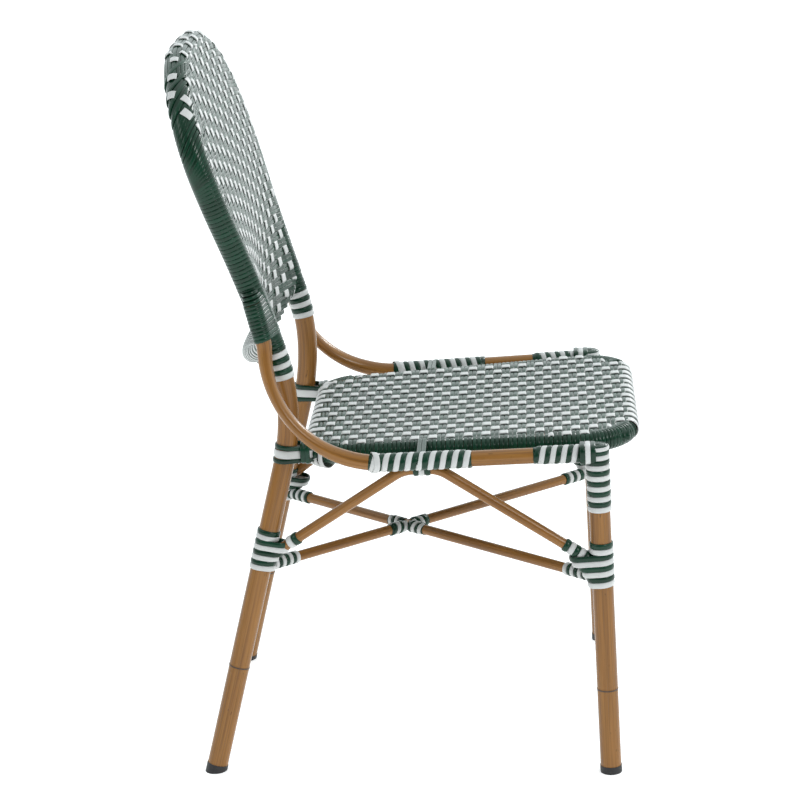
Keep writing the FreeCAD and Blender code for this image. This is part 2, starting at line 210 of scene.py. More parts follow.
def low_rail_route():
    """Arc through the two ends and the middle of the lower back rail."""
    end, mid = vec(*LOW_END), vec(*LOW_MID)
    chord = vec(0, end[1], end[2])
    sag = np.linalg.norm(mid - chord)
    radius = (end[0] ** 2 + sag ** 2) / (2 * sag)
    down = unit(mid - chord)
    centre = mid - down * radius
    top = math.asin(end[0] / radius)
    turn = np.linspace(top, -top, 90)
    line = centre + np.outer(np.sin(turn), vec(1, 0, 0)) * radius \
        + np.outer(np.cos(turn), down) * radius
    return Route(line, down)


def seat_line(step=4.0):
    """Closed centreline of the seat frame, from the middle of its rear."""
    rx, ry, rz, rr = SEAT_REAR
    fx, fy, fz, fr = SEAT_FRONT
    pts = [vec(0, ry, rz), vec(rx, ry, rz), vec(fx, fy, fz), vec(-fx, fy, fz),
           vec(-rx, ry, rz), vec(0, ry, rz)]
    return filleted(pts, [0, rr, fr, fr, rr, 0], step)


def around(n, b, turn):
    """Directions out from a centreline, at the angles turn about it."""
    return n * np.cos(turn)[:, None] + b * np.sin(turn)[:, None]


# ---- mesh builder ---------------------------------------------------------------
class Pile:
    """Gathers swept strands and tubes, then makes one object from them.
    Each vertex keeps its place on the strand: across, out and along, in metres."""

    def __init__(self):
        self.v, self.f, self.coat, self.tone = [], [], [], []
        self.count = 0

    def sweep(self, p, side, up, section, closed=False, scale=None):
        """section holds (side, up) offsets; scale may change them along p."""
        n, k = len(p), len(section)
        tone = RNG.random()
        sec = np.asarray(section, float)
        wide = np.ones((n, 2)) if scale is None else np.asarray(scale, float)
        a = sec[None, :, 0] * wide[:, None, 0]
        b = sec[None, :, 1] * wide[:, None, 1]
        ring = p[:, None] + side[:, None] * a[..., None] + up[:, None] * b[..., None]
        step = np.linalg.norm(np.diff(p, axis=0), axis=1)
        s = np.concatenate([[0], np.cumsum(step)]) + 400.0 * tone
        coat = np.stack([a, b, np.broadcast_to(s[:, None], (n, k))], -1)
        i = np.arange(n if closed else n - 1)
        j = np.arange(k)
        i0, j0 = np.meshgrid(i, j, indexing="ij")
        i1, j1 = (i0 + 1) % n, (j0 + 1) % k
        quad = np.stack([i0 * k + j0, i1 * k + j0, i1 * k + j1, i0 * k + j1], -1)
        self.f.extend((quad.reshape(-1, 4) + self.count).tolist())
        if not closed:
            self.f.append([self.count + q for q in range(k)])
            self.f.append([self.count + (n - 1) * k + q for q in reversed(range(k))])
        self.v.append(ring.reshape(-1, 3))
        self.coat.append(coat.reshape(-1, 3) * MM)
        self.tone.append(np.full(n * k, tone))
        self.count += n * k

    def build(self, name, material, slot, replaces=()):
        mesh = bpy.data.meshes.new(name)
        v = (np.concatenate(self.v) + vec(0, SHIFT_Y, 0)) * MM
        mesh.from_pydata(v.tolist(), [], self.f)
        mesh.polygons.foreach_set("use_smooth", np.ones(len(mesh.polygons), bool))
        coat = mesh.attributes.new("coat", "FLOAT_VECTOR", "POINT")
        coat.data.foreach_set("vector", np.concatenate(self.coat).astype(np.float32).ravel())
        tone = mesh.attributes.new("tone", "FLOAT", "POINT")
        tone.data.foreach_set("value", np.concatenate(self.tone).astype(np.float32))
        mesh.update()
        mesh.materials.append(material)
        obj = bpy.data.objects.new(name, mesh)
        bpy.context.scene.collection.objects.link(obj)
        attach(obj, "root")
        if replaces:
            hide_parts(*replaces)
        return obj


TUBES, PLUGS = Pile(), Pile()
WHITE, GREEN = Pile(), Pile()       # strands of the bindings
SEAT_W, SEAT_G = Pile(), Pile()
BACK_W, BACK_G = Pile(), Pile()
HOOP_G = Pile()                     # green turns of the hoop, seat frame and lower rail


def squared(count, exponent):
    """Points round a unit circle that is pressed towards a square."""
    turn = np.linspace(0, 2 * math.pi, count, endpoint=False)
    c, s = np.cos(turn), np.sin(turn)
    return np.sign(c) * abs(c) ** exponent, np.sign(s) * abs(s) ** exponent


def oval(width, thick, count, power):
    """Rounded flat strand section, (across, out) about its middle."""
    across, out = squared(count, 2.0 / power)
    return np.stack([across * width / 2, out * thick / 2], 1)


def circle(radius, count):
    turn = np.linspace(0, 2 * math.pi, count, endpoint=False)
    return np.stack([np.cos(turn), np.sin(turn)], 1) * radius


def add_tube(pile, route, radius, s0=0.0, s1=None, bend=None, count=28):
    """Round tube along a route, flattened between the arc lengths in bend."""
    s1 = route.length if s1 is None else s1
    s = np.linspace(s0, s1, max(2, int((s1 - s0) / 5.0) + 1))
    p, t, n, b = route.at(s)
    scale = None
    if bend is not None:
        share = np.clip((s - bend[0]) / (bend[1] - bend[0]), 0, 1)
        k = 1.0 - RAIL_SQUASH * np.sin(math.pi * share)
        scale = np.stack([k, 2.0 - k], 1)
    pile.sweep(p, n, b, circle(radius, count), scale=scale)


def surface_strand(pile, p, out, width, thick, closed=False, power=2.3, count=12, wide=None):
    """Flat strand whose wide face looks along out; wide scales its width along p."""
    if closed:
        d = np.roll(p, -1, 0) - np.roll(p, 1, 0)
    else:
        d = np.gradient(p, axis=0)
    d = d / np.linalg.norm(d, axis=1)[:, None]
    out = out - d * np.sum(out * d, 1)[:, None]
    out = out / np.linalg.norm(out, axis=1)[:, None]
    scale = None if wide is None else np.stack([wide, np.ones(len(p))], 1)
    pile.sweep(p, np.cross(out, d), out, oval(width, thick, count, power), closed, scale)


def add_ring(pile, route, s, radius, width, thick=STRAND_T, tilt=0.0, toward=0.0, steps=36,
             jitter=0.25):
    """One turn about the route; tilt moves it along the tube by +-tilt."""
    turn = np.linspace(0, 2 * math.pi, steps, endpoint=False)
    shift = tilt * np.cos(turn - toward) + RNG.normal(0, jitter)
    p, t, n, b = route.at(np.full(steps, s) + shift)
    out = around(n, b, turn)
    surface_strand(pile, p + out * (radius + PROUD - thick / 2), out, width, thick, closed=True)


def add_helix(pile, route, s0, s1, lead, radius, width, phase, hand):
    """A strand wound round the route, lead apart from turn to turn."""
    turns = (s1 - s0) / lead
    count = max(4, int(turns * 30))
    turn = np.linspace(0, turns * 2 * math.pi, count)
    s = np.linspace(s0, s1, count)
    p, t, n, b = route.at(s)
    out = around(n, b, hand * turn + phase)
    surface_strand(pile, p + out * (radius + PROUD - STRAND_T / 2), out, width, STRAND_T)


def bind(route, s0, s1, radius, lead, hand=1, phase=0.0):
    """White and green strands wound side by side over a green sleeve."""
    add_tube(GREEN, route, radius + 0.5, s0 + 0.5, s1 - 0.5, count=20)
    w, g = lead * 0.53, lead * 0.49
    add_helix(WHITE, route, s0 + w / 2, s1 - w / 2, lead, radius, w, phase, hand)
    add_helix(GREEN, route, s0 + g / 2, s1 - g / 2, lead, radius, g, phase + math.pi, hand)


def oblong(pile, a, ra, b, rb, axis, width, thick=STRAND_T):
    """One turn round two tubes at once: the tangent hull of their circles."""
    gap = np.linalg.norm(b - a)
    e = (b - a) / gap
    f = unit(np.cross(axis, e))
    ra, rb = ra + 2.0 - thick / 2, rb + 2.0 - thick / 2
    lean = math.acos(max(-1.0, min(1.0, (ra - rb) / gap)))
    back = np.linspace(lean, 2 * math.pi - lean, 22)
    ahead = np.linspace(-lean, lean, 14)
    p = [a + (e * math.cos(t) + f * math.sin(t)) * ra for t in back]
    out = [e * math.cos(t) + f * math.sin(t) for t in back]
    low = [e * math.cos(t) + f * math.sin(t) for t in ahead]
    rim = [b + n * rb for n in low]
    runs = max(2, int(np.linalg.norm(rim[0] - p[-1]) / 3))
    join = [p[-1] + (rim[0] - p[-1]) * k / runs for k in range(1, runs)]
    back_join = [rim[-1] + (p[0] - rim[-1]) * k / runs for k in range(1, runs)]
    points = p + join + rim + back_join
    faces = out + [out[-1]] * len(join) + low + [low[-1]] * len(back_join)
    surface_strand(pile, np.array(points), np.array(faces), width, thick, closed=True)


def webbed(route, s0, s1, radius, reach, ahead, drop=0.0):
    """Turns from the top down, green first; some reach out round the brace ends."""
    add_tube(GREEN, route, radius + 0.5, s0 + 0.5, s1 - 0.5, count=20)
    step = (s1 - s0) / len(reach)
    for k, far in enumerate(reach):
        s = s1 - (k + 0.5) * step
        pile = WHITE if k % 2 else GREEN
        if far == 0:
            add_ring(pile, route, s, radius, step * 1.02)
            continue
        p, t = route.spot(s)
        centre = p + ahead * far - t * (drop * far)
        oblong(pile, p, radius - 0.2, centre, 11.6, t, step * 1.04)


def stripes(route, s0, s1, radius, first, pitch):
    """Alternate green and white turns laid straight round the tube."""
    add_tube(GREEN, route, radius + 0.5, s0 + 0.5, s1 - 0.5, count=20)
    count = max(1, int(round((s1 - s0) / (pitch / 2))))
    step = (s1 - s0) / count
    for k in range(count):
        white = (k % 2 == 0) == (first == "white")
        pile = WHITE if white else GREEN
        add_ring(pile, route, s0 + (k + 0.5) * step, radius, step * (1.03 if white else 0.99))


# ---- woven seat --------------------------------------------------------------------
def seat_plane(y):
    """Height of the seat frame's centreline plane at y."""
    t = (SEAT_REAR[1] - y) / (SEAT_REAR[1] - SEAT_FRONT[1])
    return SEAT_REAR[2] + t * (SEAT_FRONT[2] - SEAT_REAR[2])


SEAT_LINE = seat_line(2.0)
LEFT_HALF = SEAT_LINE[SEAT_LINE[:, 0] >= -0.01]


def seat_half_width(y):
    """Half width of the centreline at y, and its slope from the Y direction."""
    q = LEFT_HALF
    inside = (q[:-1, 1] - y) * (q[1:, 1] - y) <= 0
    hits = np.where(inside & (abs(q[:-1, 1] - q[1:, 1]) > 1e-6))[0]
    if not len(hits):
        return None
    i = hits[int(np.argmax(q[hits, 0]))]
    f = (y - q[i, 1]) / (q[i + 1, 1] - q[i, 1])
    d = unit(q[i + 1] - q[i])
    return q[i, 0] + f * (q[i + 1, 0] - q[i, 0]), abs(d[0]) / max(abs(d[1]), 1e-3)


def seat_ends(x):
    """The centreline's y at the rear and at the front, and their slopes."""
    q = LEFT_HALF
    x = max(abs(x), 2.5)
    found = []
    hits = np.where((q[:-1, 0] - x) * (q[1:, 0] - x) <= 0)[0]
    for i in hits:
        if abs(q[i, 0] - q[i + 1, 0]) < 1e-6:
            continue
        f = (x - q[i, 0]) / (q[i + 1, 0] - q[i, 0])
        d = unit(q[i + 1] - q[i])
        found.append((q[i, 1] + f * (q[i + 1, 1] - q[i, 1]), abs(d[1]) / max(abs(d[0]), 1e-3)))
    return found


def smooth(t):
    t = np.clip(t, 0, 1)
    return t * t * (3 - 2 * t)


def weave_wave(u, pitch, parity, plateau):
    """+1 or -1 over each pitch, alternating, with flat tops plateau wide each way."""
    k = np.floor(u / pitch + 0.5)
    local = u - k * pitch
    sign = np.where((k.astype(int) + parity) % 2 == 0, 1.0, -1.0)
    edge = pitch / 2 - plateau
    fade = 1 - smooth((abs(local) - plateau) / edge)
    return sign * fade


SEAT_R = RAIL_R + 1.3
SEAT_SAG = 2.0


def seat_top(x, y):
    """Middle height of the weave over the seat."""
    w = SEAT_REAR[0]
    dish = SEAT_SAG * np.clip(1 - (x / w) ** 2, 0, 1) * np.clip(1 - ((y + 88) / 190) ** 2, 0, 1)
    return seat_plane(y) + SEAT_R - dish


def seat_green():
    """Pairs of green strands from side to side, wrapped round the side tubes."""
    k = 0
    while True:
        y_pair = SEAT_Y0 - PAIR * k
        if y_pair < SEAT_FRONT[1] - 6:
            break
        for q in (-0.5, 0.5):
            y = y_pair + q * PAIR * 0.49
            hit = seat_half_width(y)
            if hit is None:
                continue
            half, slope = hit
            semi = SEAT_R * min(math.hypot(1, slope), 2.6)
            zc = seat_plane(y)
            ang = np.radians(np.arange(-115, 90.1, 9.0))
            u = half + semi * np.cos(ang)
            z = zc + SEAT_R * np.sin(ang)
            flat = np.linspace(half, -half, max(8, int(2 * half / 2.4)))[1:-1]
            zf = seat_top(flat, y) + 0.9 * weave_wave(flat, BAND, k, 4.6) \
                * smooth((half - abs(flat)) / 6)
            x = np.concatenate([u, flat, -u[::-1]])
            zz = np.concatenate([z, zf, z[::-1]])
            nx = np.concatenate([np.cos(ang), flat * 0, -np.cos(ang[::-1])])
            nz = np.concatenate([np.sin(ang), flat * 0 + 1, np.sin(ang[::-1])])
            p = np.stack([x, np.full_like(x, y), zz], 1)
            out = np.stack([nx, np.zeros_like(nx), nz], 1)
            surface_strand(SEAT_G, p, out, GREEN_W, GREEN_T, power=2.7)
        k += 1


STEEP = 0.5             # a band isn't turned round a tube that slopes more than this


def seat_turn(y_end, slope, sign):
    """Rows (y, z, and the outward y and z) of a band turned round the frame."""
    if slope > STEEP:
        return np.zeros((0, 4))
    ang = np.radians(np.arange(-125, 90.1, 9.0))
    r = SEAT_R + 1.0
    semi = r * math.hypot(1, slope)
    turn = np.stack([y_end + sign * semi * np.cos(ang), seat_plane(y_end) + r * np.sin(ang),
                     sign * np.cos(ang), np.sin(ang)], 1)
    return turn if sign < 0 else turn[::-1]


def seat_white():
    """White bands from front to rear, turned round the ends where the frame lies square."""
    for i in range(-8, 9):
        x = i * BAND
        ends = sorted(seat_ends(x))
        if len(ends) < 2:
            continue
        (yf, sf), (yr, sr) = ends[0], ends[-1]
        y_lo = yf if sf <= STEEP else yf + 10
        y_hi = yr if sr <= STEEP else yr - 10
        flat = np.linspace(y_lo, y_hi, max(8, int((y_hi - y_lo) / 1.2)))[1:-1]
        wave = weave_wave(SEAT_Y0 - flat, PAIR, i + 1, 4.3)
        edge = smooth((flat - y_lo) / 6) * smooth((y_hi - flat) / 6)
        end_lift = np.where(flat > 0.5 * (yf + yr), 1.0 if sr <= STEEP else -1.6,
                            1.0 if sf <= STEEP else -1.6)
        zf = seat_top(x, flat) + 1.35 * wave * edge + end_lift * (1 - edge)
        mid = np.stack([flat, zf, flat * 0, flat * 0 + 1], 1)
        rows = np.concatenate([seat_turn(yf, sf, -1), mid, seat_turn(yr, sr, 1)])
        p = np.stack([np.full(len(rows), x), rows[:, 0], rows[:, 1]], 1)
        out = np.stack([np.zeros(len(rows)), rows[:, 2], rows[:, 3]], 1)
        surface_strand(SEAT_W, p, out, 12.0, 1.7, power=5, count=14)


def corner_turns():
    """Green turns radiating round the four corners of the seat frame."""
    line = Route(SEAT_LINE, (0, 0, 1))
    heading = abs(line.t[:, 0] / np.maximum(abs(line.t[:, 1]), 1e-6))
    turning = np.where((heading > 0.22) & (heading < 1.9))[0]
    last = -100.0
    for i in turning:
        if line.s[i] - last < 3.9:
            continue
        last = line.s[i]
        add_ring(HOOP_G, line, last, RAIL_R + 1.9, 4.9, 2.0, steps=26, jitter=0.1)


# ---- woven back -----------------------------------------------------------------------
HOOP_ROUTE = hoop_route()
HALF_HOOP = HOOP_ROUTE.p[HOOP_ROUTE.p[:, 0] >= 0]
LOW_ROUTE = low_rail_route()
BACK_N = vec(0, math.cos(LEAN), -math.sin(LEAN))
WRAP_R = LEG_R + 1.5


def hoop_half(z):
    """Half width of the hoop's centreline at a height."""
    q = HALF_HOOP[HALF_HOOP[:, 2] <= 866.4]
    order = np.argsort(q[:, 2])
    return float(np.interp(z, q[order, 2], q[order, 0]))


def hoop_top(x):
    """Height of the arch's centreline over x."""
    q = HALF_HOOP[HALF_HOOP[:, 2] > 772]
    order = np.argsort(q[:, 0])
    return float(np.interp(abs(x), q[order, 0], q[order, 2]))


def low_height(x):
    """Height, in the leaning plane, of the lower rail over x."""
    return LOW_MID[2] + (LOW_END[2] - LOW_MID[2]) * (abs(x) / LOW_END[0]) ** 2


def back_depth(x, z):
    """How far the woven face lies behind the hoop's plane."""
    w = hoop_half(max(z, 540.0))
    bow = BOW * max(0.02, (BOW_TOP - z) / (BOW_TOP - LOW_MID[2])) ** BOW_POWER
    open_span = 1 - min(1.0, (x / (w + 2)) ** 2)
    rim = WRAP_R - 3.0 * min(1.0, max(0.0, (640 - z) / 140)) * open_span
    return bow * open_span - rim


def back_point(x, z):
    return vec(x, back_y(z), z) + BACK_N * back_depth(x, z)


def back_out(x, z):
    """Forward normal of the woven face."""
    dx = back_point(x + 1, z) - back_point(x - 1, z)
    dz = back_point(x, z + 1) - back_point(x, z - 1)
    n = unit(np.cross(dx, dz))
    return n if n[1] < 0 else -n


BACK_Z0 = 858.0         # height of the row numbered 0
BACK_OPEN = 144.0       # bands nearer the middle than this end at the lower rail
ROW_STEP = PAIR * math.cos(LEAN)


def row_sag(x):
    """How far a row of the back hangs below its middle at x."""
    return ROW_SAG * x * x


def row_half(z_mid):
    """Half width at which a sagging row meets the hoop, and its height there."""
    half = 150.0
    for _ in range(12):
        z = max(542.0, z_mid - row_sag(half))
        half = 0.5 * (half + hoop_half(z))
    return half, z_mid - row_sag(half)


def wrap_tail(z, spacing):
    """A row's strand carried round the hoop: offsets (angle, along, width)."""
    rise = (hoop_half(z - 3) - hoop_half(z + 3)) * math.cos(LEAN) / 6
    rise = max(-0.4, min(1.5, rise))
    run = 26.0 * float(smooth((z - 716.0) / 84.0)) + 2.0
    a = np.radians(np.arange(8, 222, 9))
    along = WRAP_R * rise * np.sin(np.minimum(a, math.pi / 2)) + run * (1 - np.cos(a)) / 2
    steep = np.gradient(along, a) / WRAP_R
    width = spacing * math.hypot(1, rise) / np.sqrt(1 + steep ** 2) / 5.3
    return a, along, np.clip(width, 0.5, 1.12)


def tuck(x, z):
    """How far behind the woven face the lower rail's centreline lies."""
    q = LOW_ROUTE.p
    centre = q[int(np.argmin(abs(q[:, 0] - x)))]
    return max(0.0, float((centre - back_point(x, z)) @ BACK_N))


def back_green():
    """Pairs of green strands, carried right round the hoop at each side."""
    r = HOOP_ROUTE
    k = -2
    while True:
        z_pair = BACK_Z0 - k * ROW_STEP
        if z_pair < 492:
            break
        for q in (-0.5, 0.5):
            z_mid = z_pair + q * ROW_STEP * 0.49
            half, z = row_half(z_mid)
            wraps = z > 552
            if z_mid > 866:
                continue
            if not wraps:
                half = LOW_END[0] * math.sqrt(max(0.0, min(1.0, (z_mid - LOW_MID[2]) / 55.0)))
            if half < 14:
                continue
            xs = np.linspace(half, -half, max(8, int(2 * half / 2.4)))
            wave = weave_wave(xs, BACK_BAND, k, 6.6) * smooth((half - abs(xs)) / 6)
            dive = 0.0 if wraps else tuck(half, z)
            sink = dive * smooth(1 - (half - abs(xs)) / 13.0)
            p, out = [], []
            for x, h, deep in zip(xs, wave, sink):
                zz = z_mid - row_sag(x)
                n = back_out(x, zz)
                p.append(back_point(x, zz) + n * (0.7 * h) + BACK_N * deep)
                out.append(n)
            wide = np.ones(len(p))
            if wraps:
                a, along, narrow = wrap_tail(z, ROW_STEP / 2)
                at = r.s_where(2, z)
                for sign in (1, -1):
                    s = at - along if sign > 0 else r.length - at + along
                    c, t, n, b = r.at(s)
                    face = -around(n, b, a)
                    ring = list(c + face * WRAP_R)
                    face = list(face)
                    p = ring[::-1] + p if sign > 0 else p + ring
                    out = face[::-1] + out if sign > 0 else out + face
                    wide = np.concatenate([narrow[::-1], wide] if sign > 0 else [wide, narrow])
            surface_strand(BACK_G, np.array(p), np.array(out), GREEN_W, GREEN_T,
                           power=3.6, count=14, wide=wide)
        k += 1


def back_white():
    """White bands up the back; those near the middle pass over the arch."""
    up = vec(0, math.sin(LEAN), math.cos(LEAN))
    for i in range(-7, 8):
        x = i * BACK_BAND
        over = abs(x) < 95
        top = hoop_top(x) - (0 if over else 9)
        at_rail = abs(x) < BACK_OPEN
        if at_rail:
            low = low_height(x) + 3
        else:
            zs = [z for z in range(560, 790) if hoop_half(z) > abs(x) + 4]
            if not zs:
                continue
            low, top = zs[0], min(zs[-1], top)
        z = np.linspace(low, top, max(10, int((top - low) / 1.2)))
        wave = weave_wave(BACK_Z0 - z - row_sag(x), ROW_STEP, i + 1, 4.2) * smooth((z - low) / 6)
        wave = wave * smooth((top - z) / 6) - (0 if over else 1) * (1 - smooth((top - z) / 6))
        sink = (tuck(x, low) if at_rail else 0.0) * smooth(1 - (z - low) / 13.0)
        p, out = [], []
        for zz, h, deep in zip(z, wave, sink):
            n = back_out(x, zz)
            p.append(back_point(x, zz) + n * (1.15 * h) + BACK_N * deep)
            out.append(n)
        if over:
            centre = vec(x, back_y(top), top)
            for a in np.radians(np.arange(6, 200, 6)):
                n = -BACK_N * math.cos(a) + up * math.sin(a)
                lift = 1.5 * float(weave_wave(np.array([a * 14.5 + 2.7]), PAIR, i, 4.0)[0])
                p.append(centre + n * (LEG_R + 1.6 + lift))
                out.append(n)
        surface_strand(BACK_W, np.array(p), np.array(out), 11.4, 1.5, power=5, count=14)


# White patches on each shoulder: distance from the hoop's foot, angle about the
# tube, heading of the band, and its length.
PATCHES = [(383, -102, -88, 10), (349, -88, -82, 12), (322, -72, -72, 11), (347, -172, -60, 11),
           (312, -140, -52, 13), (295, -125, -45, 13), (279, 178, -38, 13)]


def shoulder_patches():
    r = HOOP_ROUTE
    for foot, angle, heading, size in PATCHES:
        run = np.linspace(-size / 2, size / 2, 9)
        lead = math.radians(heading)
        for sign in (1, -1):
            s = r.length - foot + run * math.cos(lead) if sign > 0 \
                else foot - run * math.cos(lead)
            a = math.radians(angle) + run * math.sin(lead) / 15.5
            p, t, n, b = r.at(s)
            out = around(n, b, a)
            lift = 0.9 * np.cos(run / size * 2.6)
            surface_strand(BACK_W, p + out * (LEG_R + 2.2 + lift)[:, None], out, 10.0, 1.2,
                           power=6, count=14)


def rail_head_turns(side):
    """Turns that bind the head of a side rail to the foot of the hoop."""
    rail = rail_route(side)
    axis = vec(0, math.sin(LEAN), math.cos(LEAN))
    for z in np.arange(548.0, 604, 4.6):
        hoop = vec(149.0 if z < 566 else 149.6 + (z - 566) * 0.04, back_y(z), z)
        q, t = rail.spot(rail.s_where(2, min(z, 590)))
        rail_at = q + vec(0, SLOPE, 1) * max(0, z - 590)
        hoop = hoop if side == "left" else flip(hoop)
        shrink = max(0.0, (z - 592) / 12) * 8
        toward = unit(rail_at - hoop)
        oblong(HOOP_G, hoop, LEG_R + 0.4, rail_at - toward * shrink, RAIL_R + 0.2 - shrink * 0.3,
               axis, 4.9, 2.2)


def hoop_binding():
    """Green turns at the foot of the hoop and strands laid along the arch."""
    r = HOOP_ROUTE
    s = 2.0
    while s < r.s_where(2, 553.0):
        for at in (s, r.length - s):
            add_ring(HOOP_G, r, at, LEG_R, 5.3, 2.2, jitter=0.15)
        s += 5.2
    end = r.s_where(2, 851.0)
    line = np.linspace(end - 14, r.length - end + 14, 90)
    p, t, n, b = r.at(line)
    count = 18
    for m in range(count):
        a = 2 * math.pi * m / count
        out = n * math.cos(a) + b * math.sin(a)
        surface_strand(HOOP_G, p + out * (LEG_R + 1.1), out, 4.9, 2.1, power=2.7, count=10)
    add_tube(HOOP_G, r, LEG_R + 0.9, count=24)
    for side in SIDES:
        rail_head_turns(side)


def low_rail_binding():
    """White and green turns, leaning, round the lower rail."""
    r = LOW_ROUTE
    add_tube(HOOP_G, r, RAIL_R + 0.3, count=20)
    s = 8.0
    k = 0
    while s < r.length - 8:
        pile = BACK_W if k % 2 else HOOP_G
        add_ring(pile, r, s, RAIL_R, 4.6 if k % 2 else 5.4, 1.8, tilt=9.0, toward=1.2, steps=26,
                 jitter=0.4)
        s += 5.1
        k += 1


def seat_frame_binding():
    """Green turns between the white bands on the front and rear tubes."""
    for i in range(-9, 9):
        for q in (-1, 1):
            x = (i + 0.5) * BAND + q * 2.6
            for y_end, slope in seat_ends(x):
                if slope > 1.6:
                    continue
                centre = vec(x, y_end, seat_plane(y_end))
                ang = np.linspace(0, 2 * math.pi, 26, endpoint=False)
                out = np.stack([ang * 0, np.cos(ang), np.sin(ang)], 1)
                stretch = np.stack([ang * 0, out[:, 1] * min(math.hypot(1, slope), 2.0),
                                    out[:, 2]], 1)
                surface_strand(HOOP_G, centre + stretch * (RAIL_R + 0.9), out, 5.2, 1.8,
                               closed=True, power=2.7, count=10)


# ---- frame tubes --------------------------------------------------------------------
def frame_tubes():
    for side in SIDES:
        add_tube(TUBES, rear_route(side), LEG_R)
        front = front_route(side)
        add_tube(TUBES, front, LEG_R, s0=3.0, s1=front.s_where(2, HEAD_Z - 2))
        rail = rail_route(side)
        add_tube(TUBES, rail, RAIL_R, bend=(rail.s_where(2, 545), rail.s_where(1, 60)))
        add_tube(TUBES, arch_route(side), BRACE_R, count=22)
    for side, end in CROSS_END:
        line = resampled(np.array([CROSS_END[(side, end)], CROSS_MID]), 5)
        add_tube(TUBES, Route(line, (0, 0, 1)), BRACE_R, count=22)


# ---- bindings -------------------------------------------------------------------------
# Heights and places of the bindings; the right side's are a little higher.
HEAD_Z = 412.0          # top of the front leg under its binding
STRIPE = 6.9            # pitch of one turn
HIP_Z = {"right": 492.3, "left": 490.3}
TIE_Z = {"right": 398.0, "left": 389.5}
RAIL_MID_Y = {"right": (32, -91), "left": (22, -101)}
RAIL_END_Y = (-163, -221)
FRONT_WRAP_Z = (333.0, 391.0)
FRONT_WEB_Z = (239.0, 294.0)
REAR_WEB_Z = {"right": (255.0, 304.0), "left": (240.0, 284.0)}
# How far each turn of a web reaches along the braces, from the top down.
FRONT_REACH = [0, 0, 26, 23, 15, 11, 6, 5]
REAR_REACH = {"right": [0, 0, 15, 16, 10, 6, 4, 5], "left": [0, 0, 20, 19, 12, 7, 4, 5]}
REAR_WEB_TURN = {"right": 0.15, "left": -0.2}
# How far along each cross brace the stripes at its end run, and their pitch.
BRACE_WRAP = {"right": {"rear": (55.5, 11.0), "front": (57.5, 11.0)},
              "left": {"rear": (50.0, 11.0), "front": (56.0, 12.0)}}


def leg_head(side):
    """Rail binding carried over the top of the front leg as one block."""
    front = front_route(side)
    sign = SIGN[side]
    x0 = sign * 206.1
    px, pz = squared(40, 0.55)
    for y, pile in ((-221.0, GREEN), (-227.2, WHITE), (-233.4, GREEN)):
        p = np.stack([x0 + px * (LEG_R + 1.9), np.full(40, y), 404.4 + pz * 10.9], 1)
        out = np.stack([px, np.zeros(40), pz], 1)
        surface_strand(pile, p, out, 6.5, 2.2, closed=True)
    for z, wide, pile in ((394.2, 6.2, GREEN), (400.2, 6.2, WHITE), (406.0, 6.0, GREEN),
                          (410.4, 4.8, WHITE)):
        add_ring(pile, front, front.s_where(2, z), LEG_R, wide, 2.2, jitter=0.0)
    disk = np.pad(circle(1.0, 40), ((0, 0), (0, 1)))
    for k, r in enumerate((10.6, 6.4, 2.6)):
        ring = vec(x0, FRONT_TOP[1], 413.4 + 0.7 * k) + disk * r
        up = vec(0, 0, 1) + disk * (0.5 if k == 0 else 0.1)
        surface_strand(GREEN, ring, up, 5.0, 2.0, closed=True)


def seat_tie(side, z):
    """Strap from the rear leg to the corner of the seat frame, and white turns on the corner."""
    sign = SIGN[side]
    rear = rear_route(side)
    corner = vec(sign * 133, 97, SEAT_REAR[2] + (z - 398) * 0.6)
    for dz, wide, pile in ((8.2, 6.0, GREEN), (0.0, 10.2, WHITE), (-8.2, 6.0, GREEN)):
        p, t = rear.spot(rear.s_where(2, z + dz))
        oblong(pile, p, LEG_R - 0.2, corner + vec(0, 0, dz * 0.8), RAIL_R - 1, t, wide, 2.2)
    px, pz = squared(32, 0.6)
    for y, half_x, half_z in ((114.0, 17.6, 12.4), (108.5, 17.6, 13.4)):
        p = np.stack([sign * 138.5 + px * half_x, np.full(32, y), z - 1 + pz * half_z], 1)
        surface_strand(GREEN, p, np.stack([px, 0 * px, pz], 1), 6.0, 2.2, closed=True)
    low_line = SEAT_LINE - vec(0, 0, 4.0)
    line = Route(low_line if side == "left" else flip(low_line), (0, 0, 1))
    start = line.s_where(0, 113.0 * sign)
    for k in range(6):
        add_ring(WHITE, line, start + 6.6 * k, RAIL_R + 4.6, 6.8, 1.8, jitter=0.1)


def hip_binding(side):
    """Striped turns above the seat, then green ones up to the hoop."""
    rear = rear_route(side)
    low = rear.s_where(2, HIP_Z[side])
    high = low + 5 * STRIPE
    stripes(rear, low, high, LEG_R, "white", 2 * STRIPE)
    s = high + 2.6
    while s < rear.length + 6:
        add_ring(GREEN, rear, s, LEG_R, 5.3, 2.2)
        s += 5.2


def rail_bindings(side):
    """Windings at the middle and at the front end of a side rail."""
    rail = rail_route(side)
    hand = SIGN[side]
    y0, y1 = RAIL_MID_Y[side]
    bind(rail, rail.s_where(1, y0), rail.s_where(1, y1), RAIL_R, 13.7, hand)
    y2, y3 = RAIL_END_Y
    bind(rail, rail.s_where(1, y2), rail.s_where(1, y3), RAIL_R, 12.8, hand, 4.2 * hand)
    add_ring(WHITE, rail, rail.s_where(1, y0 - 6), RAIL_R + 1.2, 6.8, 1.6, -5.0, math.pi / 2)


